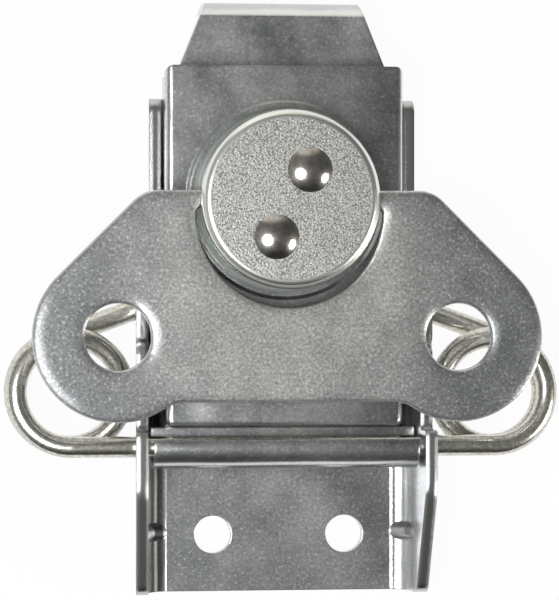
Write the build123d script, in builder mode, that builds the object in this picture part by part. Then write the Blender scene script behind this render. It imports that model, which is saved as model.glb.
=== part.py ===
from build123d import *
import os
from math import acos, atan, cos, degrees, hypot, pi, radians, sin, tan

# Spring-loaded butterfly latch. Turning the wing turns an eccentric, which draws a hook plate
# towards the tail of a bent sheet channel.
# The origin is the turning axis of the cam, on the mounting face of the channel. X runs across
# the latch, +Y points to the hook and +Z points away from the panel. All sizes are millimetres.

# Stock
base_sheet = 2.0
tray_sheet = 1.8
claw_sheet = 2.0
wing_sheet = 2.0
wire_d = 3.5

# Clearances
pin_play = 0.1  # radial, round the wire
slide_play = 0.05  # between faces that run on each other
side_play = 0.25  # between parts that pass each other side by side
swing_play = 0.3  # between the turning wing and what it passes over
claw_slot_play = 0.85  # radial, eccentric in the slot of the claw
floor_gap = 0.3  # under the rivet tails

# Base channel
channel_nose_y = 16.8
channel_tail_y = -65.0
flange_tail_y = -65.6
tail_floor_half = 19.3  # centre line to bend line
joggle_depth = 2.15
joggle_r = 10.0
joggle_end_y = -6.5
bend_r = 3.0  # inside radius
flare = 6.0  # degrees that the flanges lean outwards
nose_flange_z = 6.3
mid_flange_z = 9.5
tail_flange_z = 6.8
nose_flange_y = -12.0
mid_flange_y = -17.0
ear_front_y = -38.2
ear_rear_y = -48.0
flange_corner_r = 2.0
ear_corner_r = 0.8
ear_blend_r = 8.0
dip_y = -24.05
dip_r = 1.45
dip_depth = 0.55
mount_spacing = 22.2
mount_hole_d = 6.3
mount_y = -55.75
dart_y = -55.3
dart_r = 1.6
dart_rise = 1.1  # how far the crest of a dart stands inside the bend

# Spring
bar_y = -40.8
bar_z = 9.0
coil_r = 9.0
coil_turn = 520.0  # degrees of wire in each coil
coil_pitch = 3.6
coil_gap = 0.25  # between a coil and its flange
ease_r = 10.0  # radius that joins the flat stretches to the coil
leg_inside = 0.8  # how far a leg reaches past the flange
leg_hole_play = 0.5

# Carrier
tray_top_z = 9.6
tray_front_y = 22.2
tray_rear_y = -37.7
tray_skirt_front_y = 20.3
tray_corner_r = 1.4
tray_edge_r = 1.2
tray_inner_corner_r = 0.6
boss_r = 16.6
boss_h = 0.3
boss_shoulder = 0.6  # radius lost over the height of the boss
curl = 200.0  # degrees of sheet round the bar

# Claw
claw_rear_y = -18.8
claw_shoulder_y = 20.6
claw_tip_y = 32.8
claw_tip_half = 12.9
claw_web = 2.0  # left beside the slot
claw_bend_r = 2.3  # outside radius
claw_lip_z = 0.8
claw_rear_corner_r = 3.0

# Cam stack
cam_throw = 3.5
retainer_t = 1.2
retainer_lap = 1.2  # how far the retainer reaches past the slot of the claw
journal_r = 10.0
hub_flange_r = 15.3
hub_flange_t = 0.65
hub_body_r = 12.0
cap_r = 14.8
cap_t = 2.5
cap_edge_r = 1.2

# Rivets
rivet_points = [(2.95, 4.75), (-2.55, -6.25)]
rivet_d = 3.6
rivet_play = 0.05
rivet_head_r = 3.7
rivet_head_h = 1.4
rivet_tail_r = 2.9
rivet_tail_h = 1.1

# Wing
wing_top_y = 1.45
wing_bottom_y = -33.4
wing_lobe_x = 28.3
wing_lobe_y = -22.65
wing_lobe_r = 14.05
wing_hole_r = 5.5
wing_shoulder_x = 21.6
wing_shoulder_r = 5.7
wing_waist_r = 5.0  # hollow corner between a lobe and the bottom edge
wing_opening_r = 15.6
wing_opening_y = -2.1
wing_opening_corner_r = 1.5
wing_bar_width = 2.65
wing_edge_r = 0.6

# Worked out from the sizes above
wire_r = wire_d / 2
bend_out_r = bend_r + base_sheet
nose_floor_half = tail_floor_half - joggle_depth
knuckle_in_r = wire_r + pin_play
knuckle_r = knuckle_in_r + tray_sheet
apron_z = bar_z - knuckle_in_r
wing_z = bar_z + knuckle_r + swing_play
ear_top_z = wing_z - swing_play
tray_under_z = tray_top_z - tray_sheet
tray_skirt_z = base_sheet + bend_r
tray_half = nose_floor_half + bend_r - side_play
tray_inner_half = tray_half - tray_sheet
retainer_z = base_sheet + floor_gap + rivet_tail_h
eccentric_z = retainer_z + retainer_t
eccentric_top_z = tray_under_z - slide_play
claw_top_z = eccentric_z + slide_play + claw_sheet
claw_half = tray_inner_half - side_play
claw_slot_r = claw_half - claw_web - cam_throw
eccentric_r = claw_slot_r - claw_slot_play
retainer_r = cam_throw + claw_slot_r + retainer_lap
hub_flange_z = tray_top_z + boss_h + slide_play
cap_z = wing_z + wing_sheet + slide_play
hinge_y = wing_top_y - wing_bar_width / 2
hinge_z = wing_z + wing_sheet / 2
groove_r = hypot(wing_bar_width / 2, wing_sheet / 2) + pin_play
rivet_hole_r = rivet_d / 2 + rivet_play


def flange_inner_x(z):
    """Distance from the centre line to the inner face of a tail flange at height z."""
    rise = z - bend_out_r + bend_r * sin(radians(flare))
    return tail_floor_half + bend_r * cos(radians(flare)) + rise * tan(radians(flare))


# A coil comes nearest to its flange three quarters of a turn below the bar
flange_outer_x = flange_inner_x(bar_z - 0.75 * coil_pitch) + base_sheet / cos(radians(flare))
coil_x = flange_outer_x + coil_gap + wire_r + coil_r


os.makedirs("parts", exist_ok=True)


# Bend line in plan: wide at the tail, joggled in to the nose
joggle_turn = degrees(acos(1 - joggle_depth / (2 * joggle_r)))
joggle_start_y = joggle_end_y - 2 * joggle_r * sin(radians(joggle_turn))
with BuildLine() as bend_line:
    tail_run = Line((tail_floor_half, flange_tail_y), (tail_floor_half, joggle_start_y))
    turn_in = JernArc(tail_run @ 1, (0, 1), joggle_r, joggle_turn)
    turn_back = JernArc(turn_in @ 1, turn_in % 1, joggle_r, -joggle_turn)
    Line(turn_back @ 1, (nose_floor_half, channel_nose_y))

# Way of one leg of the spring, from the end of its coil to its hole in the flange
lead = atan(coil_pitch / (2 * pi * coil_r))
lead_run = ease_r * sin(lead)
lead_drop = ease_r * (1 - cos(lead))
coil_end = radians(coil_turn - 450)
leg_heading = Vector(sin(coil_end), cos(coil_end), 0)
leg_z = bar_z - coil_pitch * coil_turn / 360 - 2 * lead_drop
leg_start = Vector(-coil_x - coil_r * cos(coil_end), bar_y + coil_r * (1 + sin(coil_end)), leg_z)
leg_start = leg_start + leg_heading * lead_run
leg_reach = -leg_start.X - flange_inner_x(leg_z)
leg_hole_y = leg_start.Y + (leg_reach - base_sheet / 2) * leg_heading.Y / leg_heading.X
leg_length = (leg_reach + leg_inside) / leg_heading.X

# Frame of one dart: local Y points out of the bend, along its middle
dart_dir = Vector(1, 0, 0).rotate(Axis.Y, (90 + flare) / 2)
dart_plane = Plane(
    origin=(tail_floor_half, dart_y, bend_out_r),
    x_dir=(0, 1, 0),
    z_dir=Vector(0, 1, 0).cross(dart_dir),
)
dart_crest = bend_r - dart_rise
with BuildPart() as dart_ridge:
    with BuildSketch(dart_plane):
        with Locations((0, dart_crest + dart_r)):
            Circle(dart_r)
    extrude(amount=bend_out_r, both=True)
    with BuildSketch(Plane.XZ.offset(-dart_y)):
        with BuildLine():
            bend = CenterArc((tail_floor_half, bend_out_r), bend_out_r, -90, 90 - flare)
            lean = PolarLine(bend @ 1, bend_out_r, direction=bend % 1)
            Polyline(lean @ 1, (0, (lean @ 1).Y), (0, 0), bend @ 0)
        make_face()
    extrude(amount=2 * dart_r, both=True, mode=Mode.INTERSECT)

with BuildPart() as base_channel:
    with BuildSketch(Plane.XZ.offset(-flange_tail_y)):
        with BuildLine():
            bend = CenterArc((tail_floor_half, bend_out_r), bend_out_r, -90, 90 - flare)
            PolarLine(bend @ 1, ear_top_z, direction=bend % 1)
            offset(amount=base_sheet, side=Side.LEFT)
        make_face()
    sweep(path=bend_line.wire())
    with BuildSketch():
        with BuildLine():
            add(bend_line.line)
            Polyline(
                (nose_floor_half, channel_nose_y),
                (0, channel_nose_y),
                (0, flange_tail_y),
                (tail_floor_half, flange_tail_y),
            )
        make_face()
    extrude(amount=base_sheet)
    add(dart_ridge.part)
    with BuildSketch(dart_plane):
        with Locations((0, dart_crest + base_sheet)):
            SlotOverall(2 * bend_out_r, 2 * dart_r - base_sheet, rotation=90, align=(Align.MIN, Align.CENTER))
    extrude(amount=bend_out_r, both=True, mode=Mode.SUBTRACT)
    with BuildSketch(Plane.YZ.offset(tail_floor_half + bend_r / 4)):
        with Locations((leg_hole_y, leg_z)):
            Circle(wire_r + leg_hole_play)
    extrude(amount=bend_out_r + ear_top_z, mode=Mode.SUBTRACT)
    mirror(about=Plane.YZ)
    # Side view: flange heights, ears over the bar and the hole for the bar
    with BuildSketch(Plane.YZ) as side_view:
        with BuildLine():
            Polyline(
                (channel_tail_y, 0),
                (channel_nose_y, 0),
                (channel_nose_y, nose_flange_z),
                (nose_flange_y, nose_flange_z),
                (mid_flange_y, mid_flange_z),
                (ear_front_y, mid_flange_z),
                (ear_front_y, ear_top_z),
                (ear_rear_y, ear_top_z),
                (flange_tail_y, tail_flange_z),
                close=True,
            )
        make_face()
        corners = side_view.vertices().filter_by(lambda v: v.Y > base_sheet).group_by(Axis.X)
        fillet(corners[0] + corners[-1], flange_corner_r)
        ear_front = side_view.vertices().filter_by(lambda v: abs(v.X - ear_front_y) < ear_corner_r)
        fillet(ear_front, ear_corner_r)
        ear_rear = side_view.vertices().filter_by(lambda v: abs(v.X - ear_rear_y) < ear_corner_r)
        fillet(ear_rear, ear_blend_r)
        with Locations((dip_y, mid_flange_z + dip_r - dip_depth)):
            Circle(dip_r, mode=Mode.SUBTRACT)
        with Locations((bar_y, bar_z)):
            Circle(wire_r + pin_play, mode=Mode.SUBTRACT)
    extrude(amount=tail_floor_half + ear_top_z, both=True, mode=Mode.INTERSECT)
    with BuildSketch():
        with Locations((0, mount_y)):
            with GridLocations(mount_spacing, 0, 2, 1):
                Circle(mount_hole_d / 2)
    extrude(amount=base_sheet, mode=Mode.SUBTRACT)

base_channel.part.label = "base_channel"
export_step(base_channel.part, "parts/base_channel.step")


# Torsion spring: the left half runs from the middle of the bar to the end of its leg
coil_plane = Plane(
    origin=(-coil_x, bar_y + coil_r, bar_z - lead_drop),
    x_dir=(0, -1, 0),
    z_dir=(0, 0, -1),
)
with BuildPart() as torsion_spring:
    with BuildLine() as wire_path:
        bar = Line((0, bar_y, bar_z), (-coil_x + lead_run, bar_y, bar_z))
        TangentArc(bar @ 1, (-coil_x, bar_y, bar_z - lead_drop), tangent=(-1, 0, 0))
        flat_coil = Helix(coil_pitch, coil_pitch * coil_turn / 360, coil_r, mode=Mode.PRIVATE)
        coil = coil_plane.from_local_coords(flat_coil)
        add(coil)
        TangentArc(coil @ 1, leg_start, tangent=coil % 1)
        Line(leg_start, leg_start + leg_heading * leg_length)
    with BuildSketch(Plane(origin=bar @ 0, x_dir=(0, 1, 0), z_dir=(-1, 0, 0))):
        Circle(wire_r)
    sweep(path=wire_path.wire())
    mirror(about=Plane.YZ)

torsion_spring.part.label = "torsion_spring"
export_step(torsion_spring.part, "parts/torsion_spring.step")


# Carrier: a drawn tray, then the apron and the knuckle that curls round the bar
tray_length = tray_front_y - tray_rear_y
tray_height = tray_top_z - tray_skirt_z
tray_mid_y = (tray_front_y + tray_rear_y) / 2
with BuildPart() as carrier:
    with BuildSketch(Plane.XY.offset(tray_skirt_z)) as tray_plan:
        with Locations((0, tray_mid_y)):
            Rectangle(2 * tray_half, tray_length)
        fillet(tray_plan.vertices().group_by(Axis.Y)[0], tray_corner_r)
    extrude(amount=tray_height)
    fillet(carrier.faces().sort_by(Axis.Z)[-1].edges().sort_by(Axis.Y)[:-1], tray_edge_r)
    with BuildSketch(Plane.XY.offset(tray_skirt_z)) as tray_blank:
        with Locations((0, tray_mid_y)):
            Rectangle(2 * tray_half, tray_length)
        fillet(tray_blank.vertices().group_by(Axis.Y)[-1], tray_corner_r)
    extrude(amount=tray_height, mode=Mode.INTERSECT)
    with BuildSketch(Plane.XY.offset(tray_skirt_z)) as hollow:
        with Locations((0, tray_rear_y + tray_sheet)):
            Rectangle(2 * tray_inner_half, tray_length, align=(Align.CENTER, Align.MIN))
        fillet(hollow.vertices().group_by(Axis.Y)[0], tray_inner_corner_r)
        with Locations((0, tray_skirt_front_y)):
            Rectangle(2 * tray_half, tray_length, align=(Align.CENTER, Align.MIN))
    extrude(amount=tray_under_z - tray_skirt_z, mode=Mode.SUBTRACT)
    with BuildSketch(Plane.XY.offset(tray_skirt_z)):
        with Locations((0, tray_rear_y)):
            Rectangle(2 * tray_half, 2 * tray_sheet)
    extrude(amount=apron_z - tray_sheet - tray_skirt_z, mode=Mode.SUBTRACT)
    with BuildSketch(Plane.YZ):
        with BuildLine():
            inner = CenterArc((bar_y, bar_z), knuckle_in_r, -90, -curl)
            outer = CenterArc((bar_y, bar_z), knuckle_r, -90, -curl)
            Polyline(inner @ 0, (tray_rear_y, apron_z), (tray_rear_y, apron_z - tray_sheet), outer @ 0)
            Line(inner @ 1, outer @ 1)
        make_face()
    extrude(amount=flange_inner_x(bar_z - knuckle_r) - side_play, both=True)
    with Locations((0, 0, tray_top_z)):
        Cone(boss_r, boss_r - boss_shoulder, boss_h, align=(Align.CENTER, Align.CENTER, Align.MIN))
    Hole(journal_r + slide_play)

carrier.part.label = "carrier"
export_step(carrier.part, "parts/carrier.step")


# Claw: a flat hook plate, bent down at the tip
with BuildPart() as claw:
    with BuildSketch(Plane.YZ):
        with BuildLine():
            FilletPolyline(
                (claw_rear_y, claw_top_z),
                (claw_tip_y, claw_top_z),
                (claw_tip_y, claw_lip_z),
                radius=claw_bend_r,
            )
            offset(amount=claw_sheet, side=Side.RIGHT)
        make_face()
    extrude(amount=claw_half, both=True)
    with BuildSketch() as claw_plan:
        with BuildLine():
            Polyline(
                (claw_half, claw_rear_y),
                (claw_half, claw_shoulder_y),
                (claw_tip_half, claw_tip_y),
                (-claw_tip_half, claw_tip_y),
                (-claw_half, claw_shoulder_y),
                (-claw_half, claw_rear_y),
                close=True,
            )
        make_face()
        fillet(claw_plan.vertices().group_by(Axis.Y)[0], claw_rear_corner_r)
        with Locations((0, -cam_throw)):
            SlotCenterToCenter(2 * cam_throw, 2 * claw_slot_r, mode=Mode.SUBTRACT)
    extrude(amount=claw_top_z, mode=Mode.INTERSECT)

claw.part.label = "claw"
export_step(claw.part, "parts/claw.step")


# Cam stack, from the bottom up
with BuildPart() as retainer:
    with BuildSketch(Plane.XY.offset(retainer_z)):
        Circle(retainer_r)
    extrude(amount=retainer_t)
    with Locations(*rivet_points):
        Hole(rivet_hole_r)

retainer.part.label = "retainer"
export_step(retainer.part, "parts/retainer.step")

with BuildPart() as eccentric:
    with BuildSketch(Plane.XY.offset(eccentric_z)):
        with Locations((0, -cam_throw)):
            Circle(eccentric_r)
    extrude(amount=eccentric_top_z - eccentric_z)
    with Locations(*rivet_points):
        Hole(rivet_hole_r)

eccentric.part.label = "eccentric"
export_step(eccentric.part, "parts/eccentric.step")

with BuildPart() as hub:
    with BuildSketch(Plane.XZ):
        with BuildLine():
            Polyline(
                (0, eccentric_top_z),
                (journal_r, eccentric_top_z),
                (journal_r, hub_flange_z),
                (hub_flange_r, hub_flange_z),
                (hub_flange_r, hub_flange_z + hub_flange_t),
                (hub_body_r, hub_flange_z + hub_flange_t),
                (hub_body_r, cap_z),
                (0, cap_z),
                close=True,
            )
        make_face()
    revolve(axis=Axis.Z)
    with BuildSketch(Plane.YZ):
        with Locations((hinge_y, hinge_z)):
            Rectangle(2 * groove_r, 2 * groove_r)
    extrude(amount=hub_flange_r, both=True, mode=Mode.SUBTRACT)
    with Locations(*rivet_points):
        Hole(rivet_hole_r)

hub.part.label = "hub"
export_step(hub.part, "parts/hub.step")

with BuildPart() as cap:
    with BuildSketch(Plane.XY.offset(cap_z)):
        Circle(cap_r)
    extrude(amount=cap_t)
    fillet(cap.edges().sort_by(Axis.Z)[-1], cap_edge_r)
    with BuildSketch(Plane.YZ):
        with Locations((hinge_y, hinge_z)):
            Rectangle(2 * groove_r, 2 * groove_r)
    extrude(amount=cap_r, both=True, mode=Mode.SUBTRACT)
    with Locations(*rivet_points):
        Hole(rivet_hole_r)

cap.part.label = "cap"
export_step(cap.part, "parts/cap.step")


# Rivets: tail under the retainer, shank through the stack, domed head on the cap
cap_top_z = cap_z + cap_t
with BuildPart() as rivets:
    for rivet_x, rivet_y in rivet_points:
        with BuildSketch(Plane(origin=(rivet_x, rivet_y, 0), x_dir=(1, 0, 0), z_dir=(0, -1, 0))):
            with BuildLine():
                Polyline(
                    (0, cap_top_z + rivet_head_h),
                    (0, retainer_z - rivet_tail_h),
                    (rivet_tail_r, retainer_z - rivet_tail_h),
                    (rivet_tail_r, retainer_z),
                    (rivet_d / 2, retainer_z),
                    (rivet_d / 2, cap_top_z),
                    (rivet_head_r, cap_top_z),
                )
                RadiusArc(
                    (rivet_head_r, cap_top_z),
                    (0, cap_top_z + rivet_head_h),
                    -(rivet_head_r**2 + rivet_head_h**2) / (2 * rivet_head_h),
                )
            make_face()
        revolve(axis=Axis((rivet_x, rivet_y, 0), (0, 0, 1)))

rivets.part.label = "rivets"
export_step(rivets.part, "parts/rivets.step")


# Wing: the hull of shoulders and lobes, hollowed at the waist and opened round the hub
with BuildPart() as wing_handle:
    with BuildSketch(Plane.XY.offset(wing_z)) as wing_plan:
        with Locations((wing_lobe_x, wing_lobe_y), (-wing_lobe_x, wing_lobe_y)):
            Circle(wing_lobe_r)
        shoulder_y = wing_top_y - wing_shoulder_r
        with Locations((wing_shoulder_x, shoulder_y), (-wing_shoulder_x, shoulder_y)):
            Circle(wing_shoulder_r)
        make_hull()
        with Locations((0, wing_bottom_y)):
            Rectangle(2 * wing_lobe_x, wing_lobe_r, align=(Align.CENTER, Align.MAX), mode=Mode.SUBTRACT)
        with Locations((wing_lobe_x, wing_lobe_y), (-wing_lobe_x, wing_lobe_y)):
            Circle(wing_lobe_r)
        waist = wing_plan.vertices().filter_by(lambda v: abs(v.Y - wing_bottom_y) < wing_edge_r)
        fillet(waist, wing_waist_r)
        with Locations((wing_lobe_x, wing_lobe_y), (-wing_lobe_x, wing_lobe_y)):
            Circle(wing_hole_r, mode=Mode.SUBTRACT)
    extrude(amount=wing_sheet)
    with BuildSketch(Plane.XY.offset(wing_z)) as wing_opening:
        with Locations((0, wing_opening_y)):
            Circle(wing_opening_r)
        with Locations((0, wing_top_y - wing_bar_width)):
            Rectangle(2 * wing_opening_r, wing_opening_r * 2, align=(Align.CENTER, Align.MAX), mode=Mode.INTERSECT)
        fillet(wing_opening.vertices().group_by(Axis.Y)[-1], wing_opening_corner_r)
    extrude(amount=wing_sheet, mode=Mode.SUBTRACT)
    faces = wing_handle.faces().filter_by(Axis.Z)
    fillet(faces.edges(), wing_edge_r)

wing_handle.part.label = "wing_handle"
export_step(wing_handle.part, "parts/wing_handle.step")
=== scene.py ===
from math import cos, radians, sin
from typing import NamedTuple

import bpy
from bpy.props import FloatProperty, FloatVectorProperty, PointerProperty, StringProperty
from bpy.types import Operator, Panel, PropertyGroup
from mathutils import Matrix, Vector


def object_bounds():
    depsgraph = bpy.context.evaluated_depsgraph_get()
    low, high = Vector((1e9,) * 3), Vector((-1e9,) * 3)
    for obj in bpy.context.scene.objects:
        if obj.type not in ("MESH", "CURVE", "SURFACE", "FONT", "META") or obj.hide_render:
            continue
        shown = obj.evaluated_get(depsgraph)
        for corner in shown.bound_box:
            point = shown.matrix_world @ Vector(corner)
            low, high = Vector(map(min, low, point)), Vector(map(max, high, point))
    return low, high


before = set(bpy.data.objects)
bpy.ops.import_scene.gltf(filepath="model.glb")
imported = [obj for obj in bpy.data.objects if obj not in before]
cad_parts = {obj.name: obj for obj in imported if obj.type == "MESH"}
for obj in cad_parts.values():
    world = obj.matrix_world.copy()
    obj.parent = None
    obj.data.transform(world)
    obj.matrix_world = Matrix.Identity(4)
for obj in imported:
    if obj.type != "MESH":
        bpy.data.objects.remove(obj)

bl_info = {
    "name": "Butterfly Latch",
    "version": (1, 0, 0),
    "blender": (4, 5, 0),
    "location": "View3D > Sidebar > Latch",
    "description": "Finishes of a spring-loaded butterfly latch and its studio",
    "category": "Object",
}

cad_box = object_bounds()
MM = 0.001

# Places and lengths on the latch, in metres
hook_tip = cad_box[1][1]
lip_length = 2.2 * MM
crown_reach = 17 * MM  # distance from the middle line at which the tray's crown is measured
die_line = 19.1 * MM  # just inside the start of the channel's bends, out from the middle line
shears_above = 4 * MM  # height above which the channel's edges are cut, not bent
wing_middle = (-1 * MM, -14 * MM, 15 * MM)
blasted_radius = 13.3 * MM  # where the blasted face of the cap ends and its turned rim starts
shoulder_radius = 14.9 * MM  # where the shoulder of that rim ends

# Z of the surface's direction where a sheet counts as bent, and where as flat
BENT = 0.75
FLAT = 0.98

# Angle in degrees, length, width and share of each run of fine scratches
SCRATCH_RUNS = (
    (35, 1.6 * MM, 0.26 * MM, 0.29),
    (-50, 2.6 * MM, 0.26 * MM, 0.28),
    (80, 1.3 * MM, 0.26 * MM, 0.28),
)


class Plating(NamedTuple):
    """How one sheet part was pressed, plated and used. Lengths are metres, shares run from 0 to 1."""

    roughness: float  # of the grain of its plating
    sheen: float  # share of the smooth lobe where the sheet is flat
    burnish: float  # share of the smooth lobe where the bending dies rubbed it
    clouds: float  # width of the clouds in its tone
    grain_shade: float  # brightness between its grains
    wear: float  # share of its specks and scratches that shows
    edge: float  # how far the press rounded its edges
    lobe_shade_reach: tuple = ()  # distances from the wing's middle between which painted shade fades in
    cut_above: float = 0.0  # height above which its edges are bare from the shears
    crown: float = 0.0  # rise of its middle line over the sheet at the crown's reach
    lip_slope: float = 0.0  # how steeply its end falls away; its lip also gets a painted highlight
    creased_and_shaded: bool = False  # whether the bending die left its line, and the left bend is darkened with painted shade


def linear(hex_colour):
    """Turns an sRGB hex value into linear red, green, blue and alpha."""
    values = [int(hex_colour[i : i + 2], 16) / 255 for i in (0, 2, 4)]
    channels = [v / 12.92 if v <= 0.04045 else ((v + 0.055) / 1.055) ** 2.4 for v in values]
    return channels + [1.0]


def grey(level):
    """Colour of a ramp stop that only carries a level."""
    return (level, level, level, 1.0)


def add_node(tree, kind, inputs=None, output=0, stops=(), **settings):
    """Adds one shader node, sets it, fills its inputs with values or links, and returns one output."""
    made = tree.nodes.new("ShaderNode" + kind)
    for name, value in settings.items():
        setattr(made, name, value)
    for key, value in (inputs or {}).items():
        if isinstance(value, bpy.types.NodeSocket):
            tree.links.new(value, made.inputs[key])
        else:
            made.inputs[key].default_value = value
    if stops:
        elements = made.color_ramp.elements
        while len(elements) < len(stops):
            elements.new(0.5)
        for element, (position, colour) in zip(elements, stops):
            element.position = position
            element.color = colour
    return made.outputs[output] if made.outputs else None


def new_material(name):
    """New material with an empty node tree."""
    material = bpy.data.materials.new(name)
    material.use_nodes = True
    material.node_tree.nodes.clear()
    return material, material.node_tree


def layered_tone(tree, tone, layers):
    """Tone under a list of layers, each a share, a colour and the way in which it blends."""
    for share, colour, blend in layers:
        inputs = {"Factor": share, "A": tone, "B": colour}
        tone = add_node(tree, "Mix", inputs, "Result", data_type="RGBA", blend_type=blend)
    return tone


def two_lobed_metal(tree, tone, normal, sheen_roughness, grain_roughness, sheen_share):
    """Surface of plated steel: a rough lobe from its grain and a smoother one, by a share."""
    lobes = []
    for roughness in (grain_roughness, sheen_roughness):
        inputs = {"Base Color": tone, "Metallic": 1.0, "Roughness": roughness, "Normal": normal}
        lobes.append(add_node(tree, "BsdfPrincipled", inputs))
    return add_node(tree, "MixShader", {0: sheen_share, 1: lobes[0], 2: lobes[1]})


def distance_from_axis(tree, place):
    """Distance from the cam's turning axis."""
    flat = add_node(tree, "VectorMath", {0: place, 1: (1, 1, 0)}, operation="MULTIPLY")
    return add_node(tree, "VectorMath", {0: flat}, "Value", operation="LENGTH")


def specks_and_scratches(tree, place):
    """Level of the pale specks and short scratches that dust and dents leave in the plating."""
    speck = 0.5 * MM
    specks = add_node(tree, "TexNoise", {"Vector": place, "Scale": 1 / speck, "Detail": 1.0})
    marks = add_node(tree, "MapRange", {"Value": specks, "From Min": 0.64, "From Max": 0.7})
    for turn, length, width, share in SCRATCH_RUNS:
        run = {"Vector": place, "Rotation": (0, 0, radians(turn)), "Scale": (length, width, length)}
        along = add_node(tree, "Mapping", run, vector_type="TEXTURE")
        lines = add_node(tree, "TexNoise", {"Vector": along, "Scale": 1.0, "Detail": 1.0})
        ends = [(1 - share, grey(0)), (1 - share * 0.8, grey(1))]
        more = add_node(tree, "ValToRGB", {"Fac": lines}, stops=ends)
        marks = add_node(tree, "Math", {0: marks, 1: more}, operation="MAXIMUM")
    return marks


def crown_height(tree, place, crown):
    """Height of a sheet whose middle rises over its sides."""
    side = add_node(tree, "SeparateXYZ", {0: place}, "X")
    square = add_node(tree, "Math", {0: side, 1: 2.0}, operation="POWER")
    return add_node(tree, "Math", {0: square, 1: -crown / crown_reach**2}, operation="MULTIPLY")


def painted_bend_shade(tree, place, facing):
    """Share of painted shade in the channel's left bend."""
    side = add_node(tree, "SeparateXYZ", {0: place}, "X")
    fade = 0.6 * MM
    left = add_node(tree, "MapRange", {"Value": side, "From Min": -die_line, "From Max": -die_line - fade})
    levels = [(0.35, grey(0)), (0.62, grey(0.92)), (0.95, grey(0.92)), (1.0, grey(0.5))]
    bent = add_node(tree, "ValToRGB", {"Fac": facing}, stops=levels)
    return add_node(tree, "Math", {0: left, 1: bent}, operation="MULTIPLY")


def die_groove(tree, place):
    """Height of the fine groove that the bending die left along both sides of the channel's floor."""
    half_width = 0.25 * MM
    depth = 0.08 * MM
    side = add_node(tree, "SeparateXYZ", {0: place}, "X")
    side = add_node(tree, "Math", {0: side}, operation="ABSOLUTE")
    away = add_node(tree, "Math", {0: side, 1: die_line}, operation="SUBTRACT")
    away = add_node(tree, "Math", {0: away}, operation="ABSOLUTE")
    profile = {"Value": away, "From Max": half_width, "To Min": -depth, "To Max": 0.0}
    return add_node(tree, "MapRange", profile)


def length_past_lip(tree, place):
    """How far a point lies past the line where the hook's lip starts."""
    along = add_node(tree, "SeparateXYZ", {0: place}, "Y")
    past = add_node(tree, "Math", {0: along, 1: hook_tip - lip_length}, operation="SUBTRACT")
    return add_node(tree, "Math", {0: past, 1: 0.0}, operation="MAXIMUM")


def sheared_edges(tree, place, facing, cut_above, plated):
    """Sheared steel, smooth and rounded by its burr, on the edges that face up above a height."""
    height = add_node(tree, "SeparateXYZ", {0: place}, "Z")
    high = add_node(tree, "Math", {0: height, 1: cut_above}, operation="GREATER_THAN")
    level = add_node(tree, "Math", {0: facing, 1: 0.5}, operation="GREATER_THAN")
    cut = add_node(tree, "Math", {0: high, 1: level}, operation="MULTIPLY")
    burr_radius = 1.1 * MM
    burr = add_node(tree, "Bevel", {"Radius": burr_radius}, samples=6)
    steel = two_lobed_metal(
        tree, linear("c6c7c7"), burr, sheen_roughness=0.14, grain_roughness=0.34, sheen_share=0.82
    )
    return add_node(tree, "MixShader", {0: cut, 1: plated, 2: steel})


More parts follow.
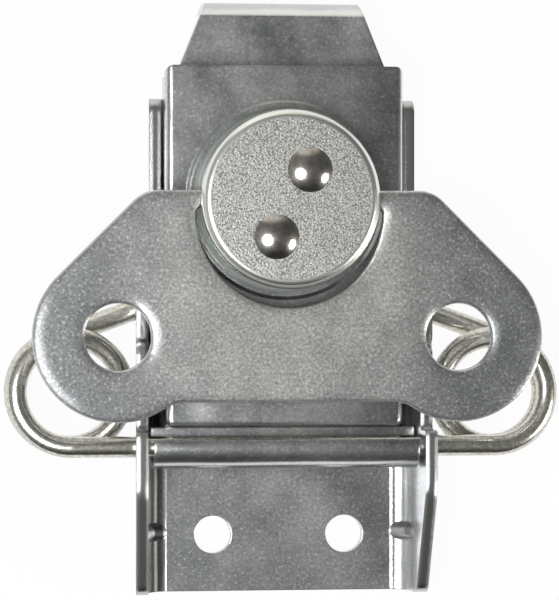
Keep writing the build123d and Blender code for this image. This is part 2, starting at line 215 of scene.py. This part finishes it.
def zinc_sheet(name, look, colour, shade, plating):
    """Bright zinc plate on cold-rolled sheet: bluish grey, cloudy, finely speckled and scratched."""
    material, tree = new_material(name)
    place = add_node(tree, "TexCoord", output="Object")
    facing = add_node(tree, "SeparateXYZ", {0: add_node(tree, "TexCoord", output="Normal")}, "Z")

    cloud_pattern = {"Vector": place, "Scale": 1 / plating.clouds, "Detail": 5.0, "Roughness": 0.65}
    clouds = add_node(tree, "TexNoise", cloud_pattern)
    # The grain of real plating is finer than a pixel, so it is drawn as wide as it needs to show
    grain_pattern = {"Vector": place, "Scale": 1 / look.grain, "Detail": 4.0, "Roughness": 0.85}
    grain = add_node(tree, "TexNoise", grain_pattern)

    cloudiness = add_node(tree, "MapRange", {"Value": clouds, "From Min": 0.32, "From Max": 0.66})
    grains = [(0.34, grey(plating.grain_shade)), (0.62, grey(1))]
    speckle = add_node(tree, "ValToRGB", {"Fac": grain}, stops=grains)
    layers = [(cloudiness, linear(colour), "MIX"), (1.0, speckle, "MULTIPLY")]
    # Painted shade: the wing darkens away from its middle towards its lobes
    if plating.lobe_shade_reach:
        near, far = plating.lobe_shade_reach
        reach = add_node(tree, "VectorMath", {0: place, 1: wing_middle}, "Value", operation="DISTANCE")
        fade = {"Value": reach, "From Min": near, "From Max": far}
        painted_lobe_shade = add_node(tree, "MapRange", fade, interpolation_type="SMOOTHSTEP")
        layers.append((painted_lobe_shade, linear("cdcfd3"), "MULTIPLY"))
    # The bending dies burnish the plating wherever the sheet leaves the flat
    bends = {"Value": facing, "From Min": BENT, "From Max": FLAT}
    burnished = add_node(tree, "MapRange", {**bends, "To Min": 0.45, "To Max": 0.0})
    layers.append((burnished, linear("f4f5f5"), "MIX"))
    marks = specks_and_scratches(tree, place)
    worn = add_node(tree, "Math", {0: marks, 1: plating.wear}, operation="MULTIPLY")
    layers.append((worn, linear("f6f7f7"), "MIX"))

    # Heights that tilt the surface, each with its strength and depth
    relief = []
    if plating.crown:
        relief.append((crown_height(tree, place, plating.crown), 1.0, 1.0))
    if plating.creased_and_shaded:
        # Painted shade darkens the channel's left bend
        layers.append((painted_bend_shade(tree, place, facing), linear("363634"), "MIX"))
        relief.append((die_groove(tree, place), 1.0, 1.0))
    if plating.lip_slope:
        past = length_past_lip(tree, place)
        # Painted highlight: the lip is lightened towards white
        painted_lip_highlight = add_node(tree, "MapRange", {"Value": past, "From Max": 0.3 * MM, "To Max": 0.85})
        layers.append((painted_lip_highlight, linear("fcfcfa"), "MIX"))
        fall = add_node(tree, "Math", {0: past, 1: -plating.lip_slope}, operation="MULTIPLY")
        relief.append((fall, 1.0, 1.0))
    # The rolls leave the sheet a little wavy, which lets reflections drift across it
    wave_length = 11 * MM
    wave_height = 0.35 * MM
    grain_height = 0.02 * MM
    waves = add_node(tree, "TexNoise", {"Vector": place, "Scale": 1 / wave_length, "Detail": 1.0})
    relief.append((waves, 1.0, wave_height))
    relief.append((grain, 0.5, grain_height))

    # The press rounds the edges softly, so half of the rounding is shaded and half is left crisp
    rolled = add_node(tree, "Bevel", {"Radius": plating.edge}, samples=6)
    crisp = add_node(tree, "NewGeometry", output="Normal")
    normal = add_node(tree, "VectorMath", {0: rolled, 1: crisp}, operation="ADD")
    normal = add_node(tree, "VectorMath", {0: normal}, operation="NORMALIZE")
    for height, strength, depth in relief:
        tilt = {"Height": height, "Strength": strength, "Distance": depth, "Normal": normal}
        normal = add_node(tree, "Bump", tilt)

    tone = layered_tone(tree, linear(shade), layers)
    spread = 0.08
    least, most = plating.roughness - spread, plating.roughness + spread
    dullness = {"Value": clouds, "From Min": 0.3, "From Max": 0.7, "To Min": least, "To Max": most}
    rough = add_node(tree, "MapRange", dullness)
    share = add_node(tree, "MapRange", {**bends, "To Min": plating.burnish, "To Max": plating.sheen})
    metal = two_lobed_metal(
        tree, tone, normal, sheen_roughness=0.16, grain_roughness=rough, sheen_share=share
    )
    if plating.cut_above:
        metal = sheared_edges(tree, place, facing, plating.cut_above, metal)
    add_node(tree, "OutputMaterial", {"Surface": metal})
    return material


def granular_zinc(name, look):
    """Zinc plate over a blasted face: matt and sparkling, with a smooth bright turned rim."""
    material, tree = new_material(name)
    place = add_node(tree, "TexCoord", output="Object")
    # The pits of the blasting grit, and the crystals of zinc that sparkle between them
    pits = add_node(tree, "TexVoronoi", {"Vector": place, "Scale": 1 / look.cap_grain})
    crystal = 0.26 * MM
    pit_depth = 0.05 * MM
    shoulder_drop = 0.3 * MM
    crystals = add_node(tree, "TexNoise", {"Vector": place, "Scale": 1 / crystal, "Detail": 3.0})
    sparkle = add_node(tree, "MapRange", {"Value": crystals, "From Min": 0.36, "From Max": 0.6})
    tone = layered_tone(tree, linear(look.cap_shade), [(sparkle, linear(look.cap_colour), "MIX")])
    height = add_node(tree, "Math", {0: pits, 1: crystals}, operation="ADD")
    rough_skin = add_node(tree, "Bump", {"Height": height, "Strength": 0.5, "Distance": pit_depth})
    face = two_lobed_metal(
        tree, tone, rough_skin, sheen_roughness=0.3, grain_roughness=0.5, sheen_share=0.35
    )
    # The rim was turned after blasting: it drops away in a soft shoulder
    reach = distance_from_axis(tree, place)
    fall = {"From Min": blasted_radius, "From Max": shoulder_radius, "To Min": 1.0, "To Max": 0.0}
    drop = add_node(tree, "MapRange", {"Value": reach, **fall}, interpolation_type="SMOOTHSTEP")
    shoulder = add_node(tree, "Bump", {"Height": drop, "Strength": 1.0, "Distance": shoulder_drop})
    bright = linear(look.cap_colour)
    rim = two_lobed_metal(
        tree, bright, shoulder, sheen_roughness=0.2, grain_roughness=0.4, sheen_share=0.6
    )
    border = {"From Min": blasted_radius - 0.1 * MM, "From Max": blasted_radius + 0.2 * MM}
    on_rim = add_node(tree, "MapRange", {"Value": reach, **border})
    metal = add_node(tree, "MixShader", {0: on_rim, 1: face, 2: rim})
    add_node(tree, "OutputMaterial", {"Surface": metal})
    return material


def smooth_metal(name, colour, shade, patches, sheen_roughness, grain_roughness, sheen_share, turned=False):
    """Smooth plated or polished steel with faint patches in its tone, or with the rings of a lathe."""
    material, tree = new_material(name)
    place = add_node(tree, "TexCoord", output="Object")
    pattern = {"Scale": 1 / patches, "Detail": 4.0, "Roughness": 0.6}
    if turned:
        # Lathe rings are finer than a pixel, so they are drawn as wide as the patches
        pattern["W"] = distance_from_axis(tree, place)
    else:
        pattern["Vector"] = place
    stains = add_node(tree, "TexNoise", pattern, noise_dimensions="1D" if turned else "3D")
    share = add_node(tree, "MapRange", {"Value": stains, "From Min": 0.36, "From Max": 0.62})
    tone = layered_tone(tree, linear(shade), [(share, linear(colour), "MIX")])
    relief_height = 0.03 * MM
    bump = add_node(tree, "Bump", {"Height": stains, "Strength": 0.3, "Distance": relief_height})
    metal = two_lobed_metal(tree, tone, bump, sheen_roughness, grain_roughness, sheen_share)
    add_node(tree, "OutputMaterial", {"Surface": metal})
    return material


def dress(node_name, material):
    """Gives one CAD node its finish."""
    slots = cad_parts[node_name].data.materials
    slots.clear()
    slots.append(material)


class LatchFinish(PropertyGroup):
    """Colours and grains of the plated parts."""

    wing_colour: StringProperty(name="Wing", description="sRGB hex of the wing's zinc", default="e0e0dd")
    wing_shade: StringProperty(name="Wing shade", description="sRGB hex of its clouds", default="cccdcc")
    sheet_colour: StringProperty(name="Sheet", description="sRGB hex of the bent sheets", default="dddedd")
    sheet_shade: StringProperty(name="Sheet shade", description="sRGB hex of its clouds", default="a9abaf")
    cap_colour: StringProperty(name="Cap", description="sRGB hex of the granular face", default="f0f0ec")
    cap_shade: StringProperty(name="Cap shade", description="sRGB hex between its grains", default="8f908c")
    # The turned parts' colours are set light and green: painted light in the hub's shaded gap and a painted
    # green reflection
    hub_colour: StringProperty(name="Hub", description="sRGB hex of the turned parts", default="d2d8d2")
    hub_shade: StringProperty(name="Hub shade", description="sRGB hex of the dark rings", default="a2a9a4")
    wire_colour: StringProperty(name="Wire", description="sRGB hex of the wire's nickel", default="e9e7df")
    wire_shade: StringProperty(name="Wire shade", description="sRGB hex of dull patches", default="b4b1a8")
    rivet_colour: StringProperty(name="Rivets", description="sRGB hex of the heads", default="c0bcb6")
    rivet_shade: StringProperty(name="Rivet shade", description="sRGB hex of dull patches", default="9a9691")
    grain: FloatProperty(
        name="Plating grain",
        description="Width of the zinc's grains as drawn",
        default=0.5 * MM,
        unit="LENGTH",
    )
    cap_grain: FloatProperty(
        name="Cap grain",
        description="Width of the cap's blasted pits",
        default=0.34 * MM,
        unit="LENGTH",
    )


class LatchStudio(PropertyGroup):
    """Room, lamps and camera."""

    foot_colour: StringProperty(name="Foot", description="sRGB hex of the darkest side", default="2e2e2c")
    room_colour: StringProperty(name="Room", description="sRGB hex of the dim room", default="747573")
    wall_colour: StringProperty(name="Wall", description="sRGB hex of the hook's side", default="f4f0e8")
    left_lamp: StringProperty(name="Left lamp", description="sRGB hex of its light", default="ffffff")
    right_lamp: StringProperty(name="Right lamp", description="sRGB hex of its light", default="fffdf8")
    lamp_distance: FloatProperty(
        name="Lamp distance", description="Lamps to the cam", default=0.36, unit="LENGTH"
    )
    distance: FloatProperty(name="Distance", description="Camera to object", default=0.65, unit="LENGTH")
    yaw: FloatProperty(
        name="Yaw", description="Camera's swing to the left", default=radians(8.5), subtype="ANGLE"
    )
    lens: FloatProperty(
        name="Lens", description="Focal length in mm", default=232.8, subtype="DISTANCE_CAMERA"
    )
    aim: FloatVectorProperty(
        name="Aim",
        description="Point in the middle of the picture",
        default=(0.24 * MM, -16.59 * MM, 1.6 * MM),
        subtype="TRANSLATION",
    )


class LATCH_OT_sheet_parts(Operator):
    """Finish the channel, the tray and the hook plate"""

    bl_idname = "latch.sheet_parts"
    bl_label = "Sheet parts"

    def execute(self, context):
        look = context.scene.latch_finish
        channel = Plating(
            roughness=0.5,
            sheen=0.62,
            burnish=0.5,
            clouds=14 * MM,
            grain_shade=0.5,
            wear=0.45,
            edge=0.35 * MM,
            cut_above=shears_above,
            creased_and_shaded=True,
        )
        tray = Plating(
            roughness=0.44,
            sheen=0.68,
            burnish=0.75,
            clouds=12 * MM,
            grain_shade=0.6,
            wear=0.35,
            edge=0.6 * MM,
            crown=0.5 * MM,
        )
        hook = Plating(
            roughness=0.48,
            sheen=0.6,
            burnish=0.85,
            clouds=10 * MM,
            grain_shade=0.6,
            wear=0.35,
            edge=0.6 * MM,
            lip_slope=0.6,
        )
        for node_name, finish_name, plating in (
            ("base_channel", "zinc_channel", channel),
            ("carrier", "zinc_tray", tray),
            ("claw", "zinc_hook", hook),
        ):
            dress(node_name, zinc_sheet(finish_name, look, look.sheet_colour, look.sheet_shade, plating))
        return {"FINISHED"}


class LATCH_OT_wing(Operator):
    """Finish the wing"""

    bl_idname = "latch.wing"
    bl_label = "Wing"

    def execute(self, context):
        look = context.scene.latch_finish
        plating = Plating(
            roughness=0.54,
            sheen=0.36,
            burnish=0.8,
            clouds=9 * MM,
            grain_shade=0.42,
            wear=0.38,
            edge=3 * MM,
            lobe_shade_reach=(17 * MM, 35 * MM),
        )
        dress("wing_handle", zinc_sheet("zinc_wing", look, look.wing_colour, look.wing_shade, plating))
        return {"FINISHED"}


class LATCH_OT_cam_stack(Operator):
    """Finish the hub, the cap, the eccentric, the retainer and the rivets"""

    bl_idname = "latch.cam_stack"
    bl_label = "Cam stack"

    def execute(self, context):
        look = context.scene.latch_finish
        # Zinc-plated steel from the lathe: faint rings and a soft sheen; its pale green tone holds painted
        # light and a painted reflection
        turned = smooth_metal(
            "zinc_turned",
            look.hub_colour,
            look.hub_shade,
            patches=0.6 * MM,
            sheen_roughness=0.16,
            grain_roughness=0.42,
            sheen_share=0.55,
            turned=True,
        )
        for node_name in ("hub", "eccentric", "retainer"):
            dress(node_name, turned)
        dress("cap", granular_zinc("zinc_granular", look))
        # Polished steel domes: dark, with two small sharp highlights
        polished = smooth_metal(
            "polished_rivets",
            look.rivet_colour,
            look.rivet_shade,
            patches=1.2 * MM,
            sheen_roughness=0.1,
            grain_roughness=0.34,
            sheen_share=0.66,
        )
        dress("rivets", polished)
        return {"FINISHED"}


class LATCH_OT_spring(Operator):
    """Finish the spring wire"""

    bl_idname = "latch.spring"
    bl_label = "Spring"

    def execute(self, context):
        look = context.scene.latch_finish
        # Nickel-plated spring wire: warm and glossy, with a bright line along it
        nickel = smooth_metal(
            "nickel_wire",
            look.wire_colour,
            look.wire_shade,
            patches=0.5 * MM,
            sheen_roughness=0.14,
            grain_roughness=0.4,
            sheen_share=0.72,
        )
        dress("torsion_spring", nickel)
        return {"FINISHED"}


def add_floor(scene):
    """Pale floor: white to the camera and in the metal, with a soft contact shadow."""
    reach = 3.0  # metres from the middle to each side
    gap = 0.2 * MM  # keeps the floor clear of the back of the latch
    corners = [(-reach, -reach, 0), (reach, -reach, 0), (reach, reach, 0), (-reach, reach, 0)]
    mesh = bpy.data.meshes.new("floor")
    mesh.from_pydata(corners, [], [(0, 1, 2, 3)])
    floor = bpy.data.objects.new("floor", mesh)
    floor.location.z = -gap
    scene.collection.objects.link(floor)

    material, tree = new_material("pale_floor")
    seen = add_node(tree, "LightPath", output="Is Camera Ray")
    for kind_of_ray in ("Is Glossy Ray", "Is Transmission Ray"):
        other = add_node(tree, "LightPath", output=kind_of_ray)
        seen = add_node(tree, "Math", {0: seen, 1: other}, operation="MAXIMUM")
    glowing = add_node(tree, "Math", {0: seen, 1: 0.95}, operation="MULTIPLY")
    paper = add_node(tree, "BsdfDiffuse", {"Color": linear("e8e8e8")})
    glow = add_node(tree, "Emission", {"Color": linear("ffffff"), "Strength": 1.0})
    surface = add_node(tree, "MixShader", {0: glowing, 1: paper, 2: glow})
    add_node(tree, "OutputMaterial", {"Surface": surface})
    mesh.materials.append(material)


def add_room(scene, studio):
    """Dim room, darkest at its foot, with a warm pale wall by the hook; the camera sees it white."""
    world = bpy.data.worlds.new("studio")
    world.use_nodes = True
    tree = world.node_tree
    tree.nodes.clear()
    way = add_node(tree, "TexCoord", output="Generated")
    along = add_node(tree, "SeparateXYZ", {0: way}, "Y")
    across = add_node(tree, "SeparateXYZ", {0: way}, "X")
    towards_hook = add_node(tree, "MapRange", {"Value": along, "From Min": -1.0, "From Max": 1.0})
    sides = [
        (0.06, linear(studio.foot_colour)),
        (0.3, linear(studio.room_colour)),
        (0.86, linear(studio.room_colour)),
        (0.95, linear(studio.wall_colour)),
    ]
    room = add_node(tree, "ValToRGB", {"Fac": towards_hook}, stops=sides)
    # Daylight comes in on the left, so the room falls off to the right
    fall = {"Value": across, "From Min": -0.6, "From Max": 0.6, "To Min": 1.6, "To Max": 0.6}
    daylight = add_node(tree, "MapRange", fall)
    seen = add_node(tree, "LightPath", output="Is Camera Ray")
    colour = layered_tone(tree, room, [(1.0, daylight, "MULTIPLY"), (seen, linear("ffffff"), "MIX")])
    add_node(tree, "OutputWorld", {"Surface": add_node(tree, "Background", {"Color": colour})})
    scene.world = world


def add_lamp(scene, name, colour, distance, way, size, power):
    """Round softbox that faces the cam from one direction."""
    cam = Vector((0, 0, 15 * MM))
    light = bpy.data.lights.new(name, "AREA")
    light.shape = "DISK"
    light.size = size
    light.energy = power
    light.color = linear(colour)[:3]
    lamp = bpy.data.objects.new(name, light)
    lamp.location = cam + Vector(way).normalized() * distance
    lamp.rotation_euler = Vector(way).to_track_quat("Z", "Y").to_euler()
    lamp.visible_camera = False
    scene.collection.objects.link(lamp)


def add_camera(scene, studio):
    """Camera straight over the latch, swung a little to the left."""
    camera = bpy.data.objects.new("camera", bpy.data.cameras.new("camera"))
    camera.data.lens = studio.lens
    camera.data.sensor_width = 36
    camera.data.clip_start = 0.01
    back = Vector((-sin(studio.yaw), 0, cos(studio.yaw)))
    right = Vector((0, 1, 0)).cross(back).normalized()
    camera.rotation_euler = Matrix((right, back.cross(right), back)).transposed().to_euler()
    camera.location = Vector(studio.aim) + back * studio.distance
    scene.collection.objects.link(camera)
    scene.camera = camera


class LATCH_OT_stage(Operator):
    """Make the floor, the room, the lamps and the camera"""

    bl_idname = "latch.stage"
    bl_label = "Stage"

    def execute(self, context):
        scene = context.scene
        studio = scene.latch_studio
        scene.view_settings.view_transform = "Standard"
        add_floor(scene)
        add_room(scene, studio)
        reach = studio.lamp_distance
        left_way = (-0.463, -0.207, 0.861)
        right_way = (0.842, -0.362, 0.401)
        add_lamp(scene, "softbox_left", studio.left_lamp, reach, left_way, size=0.25, power=1.15)
        add_lamp(scene, "softbox_right", studio.right_lamp, reach, right_way, size=0.17, power=0.6)
        add_camera(scene, studio)
        return {"FINISHED"}


class LATCH_PT_panel(Panel):
    """Lists the steps of the latch"""

    bl_label = "Butterfly latch"
    bl_idname = "LATCH_PT_panel"
    bl_space_type = "VIEW_3D"
    bl_region_type = "UI"
    bl_category = "Latch"

    def draw(self, context):
        for step in STEPS:
            self.layout.operator(step.bl_idname)


STEPS = (LATCH_OT_sheet_parts, LATCH_OT_wing, LATCH_OT_cam_stack, LATCH_OT_spring, LATCH_OT_stage)
CLASSES = (LatchFinish, LatchStudio) + STEPS + (LATCH_PT_panel,)


def register():
    for cls in CLASSES:
        bpy.utils.register_class(cls)
    bpy.types.Scene.latch_finish = PointerProperty(type=LatchFinish)
    bpy.types.Scene.latch_studio = PointerProperty(type=LatchStudio)


def unregister():
    del bpy.types.Scene.latch_studio
    del bpy.types.Scene.latch_finish
    for cls in reversed(CLASSES):
        bpy.utils.unregister_class(cls)


def main():
    register()
    bpy.ops.latch.sheet_parts()
    bpy.ops.latch.wing()
    bpy.ops.latch.cam_stack()
    bpy.ops.latch.spring()
    bpy.ops.latch.stage()


if __name__ == "__main__":
    main()
